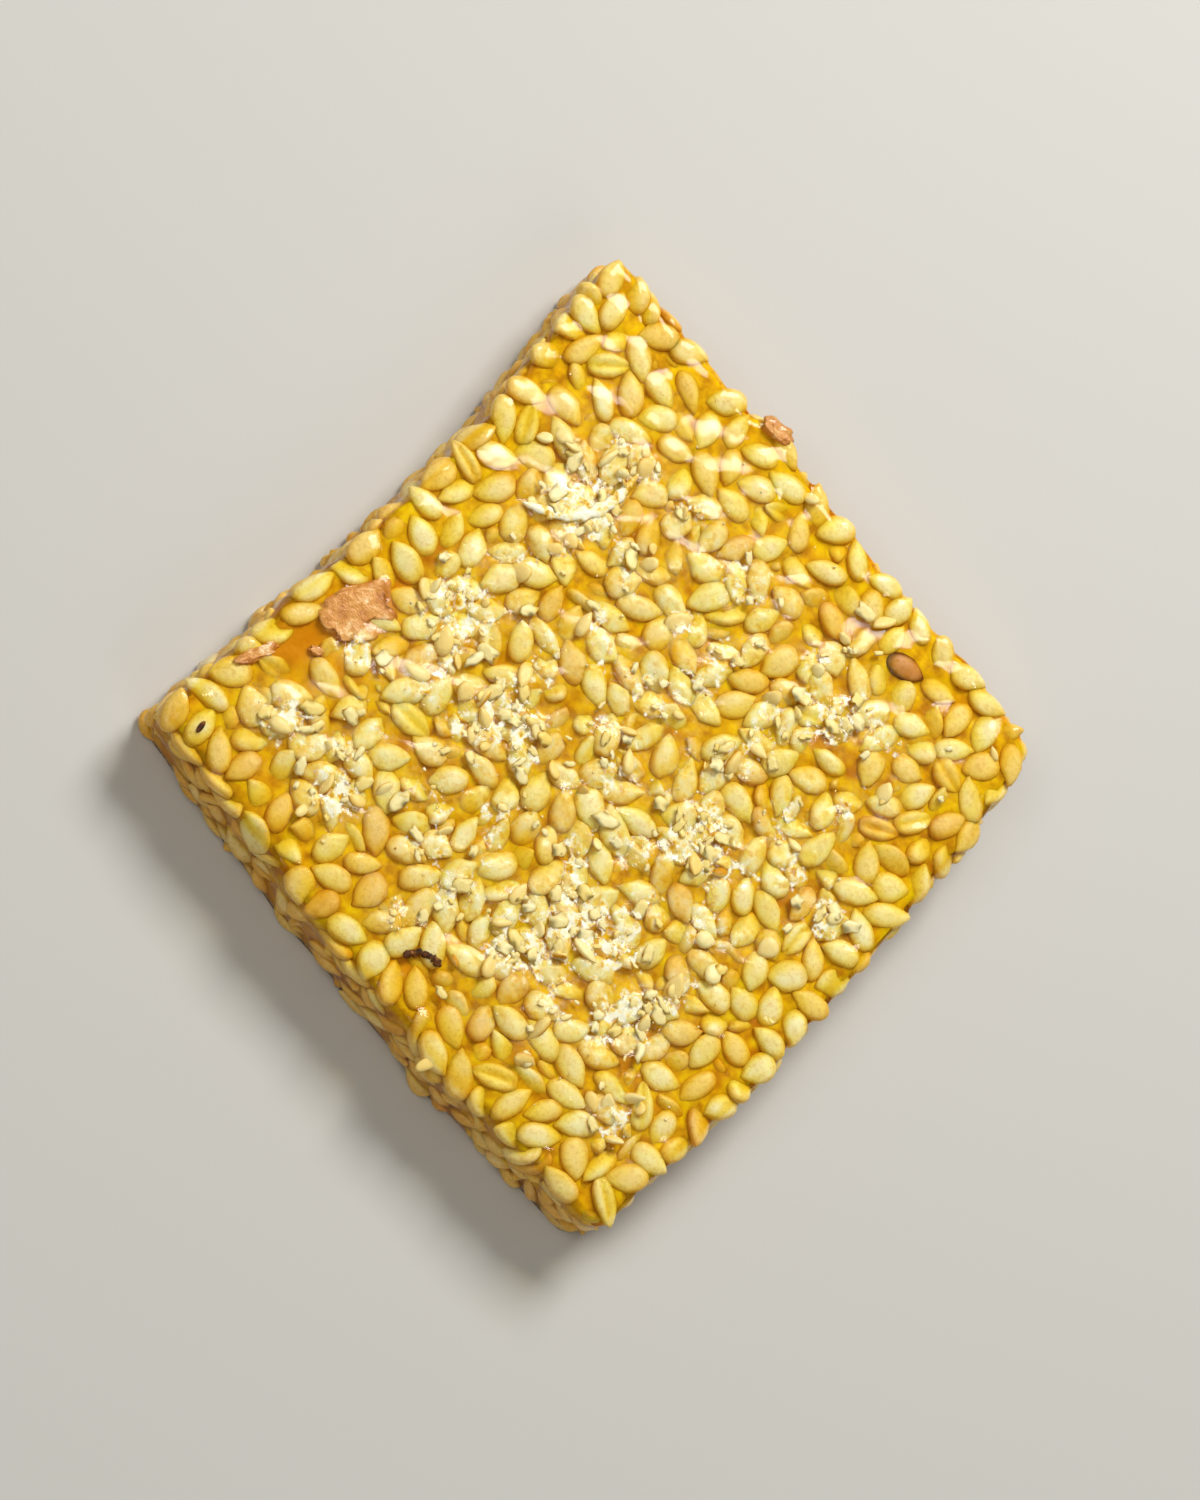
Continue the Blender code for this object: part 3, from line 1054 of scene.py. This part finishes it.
def burnt_and_hole_shade_piece(tree, space):
    """Burnt rim of syrup cracked round the end of a seed, and a dark inlay of painted shade for the
    hole in another seed.
    """
    t = np.linspace(-1.0, 1.0, BAND_ROWS)
    bend = np.radians(BURNT_BEND) * t
    uneven = 0.25 * ragged(BAND_ROWS, 0.35, 4.0)
    curve = np.column_stack([1.4 * np.sin(bend), 0.9 * np.cos(bend) - 0.5 + uneven])
    turn = turns(2, np.radians([BURNT_TURN]))[0, :2, :2]
    width = 0.2 + 0.12 * np.abs(t) + 0.3 * ragged(BAND_ROWS, 0.7, 9.0)
    width = np.maximum(width * np.sqrt(np.clip(1.0 - t ** 6, 0.02, 1.0)), 0.05)
    crack, crack_faces = band(tree, space, curve @ turn.T + np.array(BURNT_EDGE), width, 0.08, 0.0)
    # The hole is painted shade: a flat dark band on the seed, in the burnt syrup's colours.
    x, y, angle, half = HOLE_SHADE
    along = np.array([math.cos(math.radians(angle)), math.sin(math.radians(angle))]) * half
    path = np.array([(x, y)]) + t[:, None] * along
    hole_shade, hole_shade_faces = band(tree, space, path, 0.2 * np.sqrt(1.02 - t ** 2), 0.05, 0.0)
    faces = crack_faces + [tuple(k + len(crack) for k in face) for face in hole_shade_faces]
    char_and_hole_shade = mottled_material("burnt_syrup_and_hole_shade", 0.6, 0.2, (CHAR_LUMPS, 0.4, 0.0001), CHAR_AND_HOLE_SHADE_MOTTLE,
                            (0.4, srgb(44, 20, 2)), (0.55, srgb(96, 52, 8)),
                            (0.66, srgb(170, 112, 40)))
    return mesh_piece("burnt_edge_and_hole_shade", np.concatenate([crack, hole_shade]), faces, char_and_hole_shade)


def scab_piece(tree, space):
    """Pale scab of dried syrup lifted in a curve over the seeds."""
    rows = 2 * BAND_ROWS
    t = np.linspace(0.0, 1.0, rows)
    knots = np.linspace(0.0, 1.0, len(SCAB))
    path = [np.interp(t, knots, axis) for axis in np.array(SCAB).T]
    path = np.column_stack([smoothed(axis, 6, mode="reflect", reflect_type="odd") for axis in path])
    path[:, 1] += 0.12 * ragged(rows, 0.22, 1.0)
    width = 0.5 + 0.25 * ragged(rows, 0.25, 3.0)
    width = width * np.sqrt(np.clip(4.0 * t * (1.0 - t), 0.02, 1.0))
    v, f = band(tree, space, path, width, 0.16, 0.06)
    dry = mottled_material("dried_scab", 0.4, 0.5, (DRIED_LUMPS, 0.7, 0.00015), CRUST_LUMPS,
                           *CRUST_STOPS)
    return mesh_piece("lifted_scab", v, f, dry)


# ---------- the dressing

def packed_seeds(space):
    """Every seed's place, rotation, size, shape, tone, cover of syrup and kind."""
    centres, rotations = scattered_layers(space)
    held_centres, held_turns, held_sizes, held_kinds = held_seeds(space)
    laid = len(centres)
    sizes = np.clip(rng.normal(1.0, SEED_SPREAD, (laid, 3)), *SEED_LIMITS)
    sizes = np.concatenate([sizes, held_sizes])
    count = len(sizes)
    free = np.ones((count, 1))
    free[laid:] = 0.0
    kinds = rng.choice(len(KIND_SHARES), laid, p=KIND_SHARES)
    kinds = np.concatenate([kinds, [KINDS.index(kind) for kind in held_kinds]])
    centres, rotations = jam(space, np.concatenate([centres, held_centres]),
                             np.concatenate([rotations, held_turns]), sizes, free)
    split = len(SHAPES) - 1
    variant = np.where(rng.uniform(size=count) < SPLIT_SHARE, split, rng.integers(0, split, count))
    variant[laid:] = 0
    return {"place": centres, "turn": rotations, "size": sizes, "variant": variant, "kind": kinds,
            "tone": rng.beta(1.6, 2.2, count), "cover": EXTRA_COVER * rng.beta(1.0, 2.0, count),
            "space": space}


def seed_looks():
    """Each kind of seed's pale, deep and rim colours and roughness."""
    pale = srgb(255, 244, 204)
    cream = srgb(254, 234, 174)
    toast = srgb(206, 146, 88)
    return {
        "seeds_pale": (pale, cream, srgb(246, 214, 138), 0.34),
        "seeds_cream": (cream, srgb(249, 216, 132), srgb(240, 198, 108), 0.38),
        "seeds_golden": (srgb(249, 218, 140), srgb(240, 198, 116), srgb(226, 174, 84), 0.4),
        "seeds_toasted": (toast, toast, srgb(96, 46, 12), 0.3),
    }


def seed_pieces(space):
    """Pieces of the outer seeds by kind and of the deep ones, and the outer ones' meshes."""
    seeds = packed_seeds(space)
    depth = space.depth(seeds["place"])
    fine = ball_mesh(3)
    looks = seed_looks()
    pieces = []
    skin = []
    for kind, (name, look) in enumerate(looks.items()):
        pick = np.flatnonzero((depth < FINE_DEPTH) & (seeds["kind"] == kind))
        piece, v, f = seed_piece(name, look, seeds, pick, *fine)
        pieces.append(piece)
        skin.append((v, f))
    plain = seeds["kind"] < len(KIND_SHARES)
    pick = np.flatnonzero((depth >= FINE_DEPTH) & (depth < DRAWN_DEPTH) & plain)
    deep = seed_piece("seeds_deep", looks["seeds_cream"], seeds, pick, *ball_mesh(2))[0]
    return pieces + [deep], skin


def loose_pieces(film, space):
    """What lies on the film, in the order of the random draws."""
    tree = BVHTree.FromObject(film, bpy.context.evaluated_depsgraph_get())
    flake = bit_material("starch_flake", srgb(255, 244, 190), srgb(254, 224, 122), 0.4, 0.3)
    grain = bit_material("sugar_grain", srgb(255, 248, 204), srgb(254, 230, 150), 0.12, 0.8)
    bit = bit_material("seed_bit", srgb(255, 242, 180), srgb(250, 216, 120), 0.4, 0.3)
    return [scattered_bits("starch_flakes", tree, space, ball_mesh(2), flake, *FLAKES),
            scattered_bits("sugar_grains", tree, space, ball_mesh(1), grain, *GRAINS),
            seed_bits(tree, space, bit),
            scab_piece(tree, space),
            burnt_and_hole_shade_piece(tree, space)]


def dress(slab):
    """Stand seeds, syrup and bits in for the slab."""
    space = Space(slab)
    shown, skin = seed_pieces(space)
    peanut, v, f = peanut_piece(space)
    shown.append(peanut)
    skin.append((v, f))
    shown.append(core_piece(slab, space))
    film = syrup_piece(slab, space, *merged(skin), syrup_material())
    shown += loose_pieces(film, space)
    shown.append(film)
    for piece in shown:
        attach(piece, "root")
    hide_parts("slab")


# ---------- stage

VIEW_AZIMUTH = -20.7
VIEW_ELEVATION = 67.2
VIEW_ROLL = 66.5
VIEW_DISTANCE = 0.463
VIEW_LENS = 158.0
FLOOR_SIZE = 1.5
ROOM_COLOUR = (1.0, 0.97, 0.9, 1.0)
ROOM_LIGHT = 0.13
# Each lamp's name, azimuth, elevation, distance, size, watts and colour
LAMPS = (("key", 190.0, 46.0, 0.5, 0.2, 2.4, (1.0, 0.97, 0.92)),
         ("fill", -60.0, 60.0, 0.7, 0.4, 1.1, (1.0, 0.95, 0.86)),
         ("side", 60.0, 40.0, 0.7, 0.4, 0.6, (1.0, 0.95, 0.86)))


def direction(azimuth, elevation):
    """Unit vector from the slab towards a place seen at an azimuth and elevation."""
    a, e = math.radians(azimuth), math.radians(elevation)
    return Vector((math.sin(a) * math.cos(e), -math.cos(a) * math.cos(e), math.sin(e)))


def add_camera(target):
    """A camera at the photograph's viewing angle."""
    camera = placed("camera", bpy.data.cameras.new("camera"))
    back = direction(VIEW_AZIMUTH, VIEW_ELEVATION)
    place = Matrix.Translation(target + back * VIEW_DISTANCE)
    roll = Matrix.Rotation(math.radians(VIEW_ROLL), 4, "Z")
    camera.matrix_world = place @ (-back).to_track_quat("-Z", "Y").to_matrix().to_4x4() @ roll
    camera.data.lens = VIEW_LENS
    camera.data.clip_start = 0.01
    camera.data.clip_end = 10.0
    bpy.context.scene.camera = camera


def add_lamp(target, name, azimuth, elevation, distance, size, watts, colour):
    """A square soft lamp that looks at the slab."""
    data = bpy.data.lights.new(name, "AREA")
    data.energy = watts
    data.size = size
    data.color = colour
    lamp = placed(name, data)
    lamp.location = target + direction(azimuth, elevation) * distance
    lamp.rotation_euler = (target - lamp.location).to_track_quat("-Z", "Y").to_euler()


def add_floor():
    """A plain pale floor."""
    bm = bmesh.new()
    bmesh.ops.create_grid(bm, x_segments=2, y_segments=2, size=FLOOR_SIZE)
    mesh = bpy.data.meshes.new("floor")
    bm.to_mesh(mesh)
    bm.free()
    n = Nodes("floor")
    n.set(Base_Color=srgb(204, 204, 202), Roughness=0.7)
    mesh.materials.append(n.material)
    placed("floor", mesh)


def add_stage(target):
    """The floor, the lamps and the studio's own light."""
    add_floor()
    for lamp in LAMPS:
        add_lamp(target, *lamp)
    world = bpy.data.worlds.new("studio")
    world.use_nodes = True
    background = world.node_tree.nodes["Background"]
    background.inputs["Color"].default_value = ROOM_COLOUR
    background.inputs["Strength"].default_value = ROOM_LIGHT
    bpy.context.scene.world = world
    bpy.context.scene.view_settings.view_transform = "Standard"


slab_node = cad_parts["slab"]
dress(slab_node)
middle = (CAD_BOX[0] + CAD_BOX[1]) / 2
add_camera(middle)
add_stage(middle)
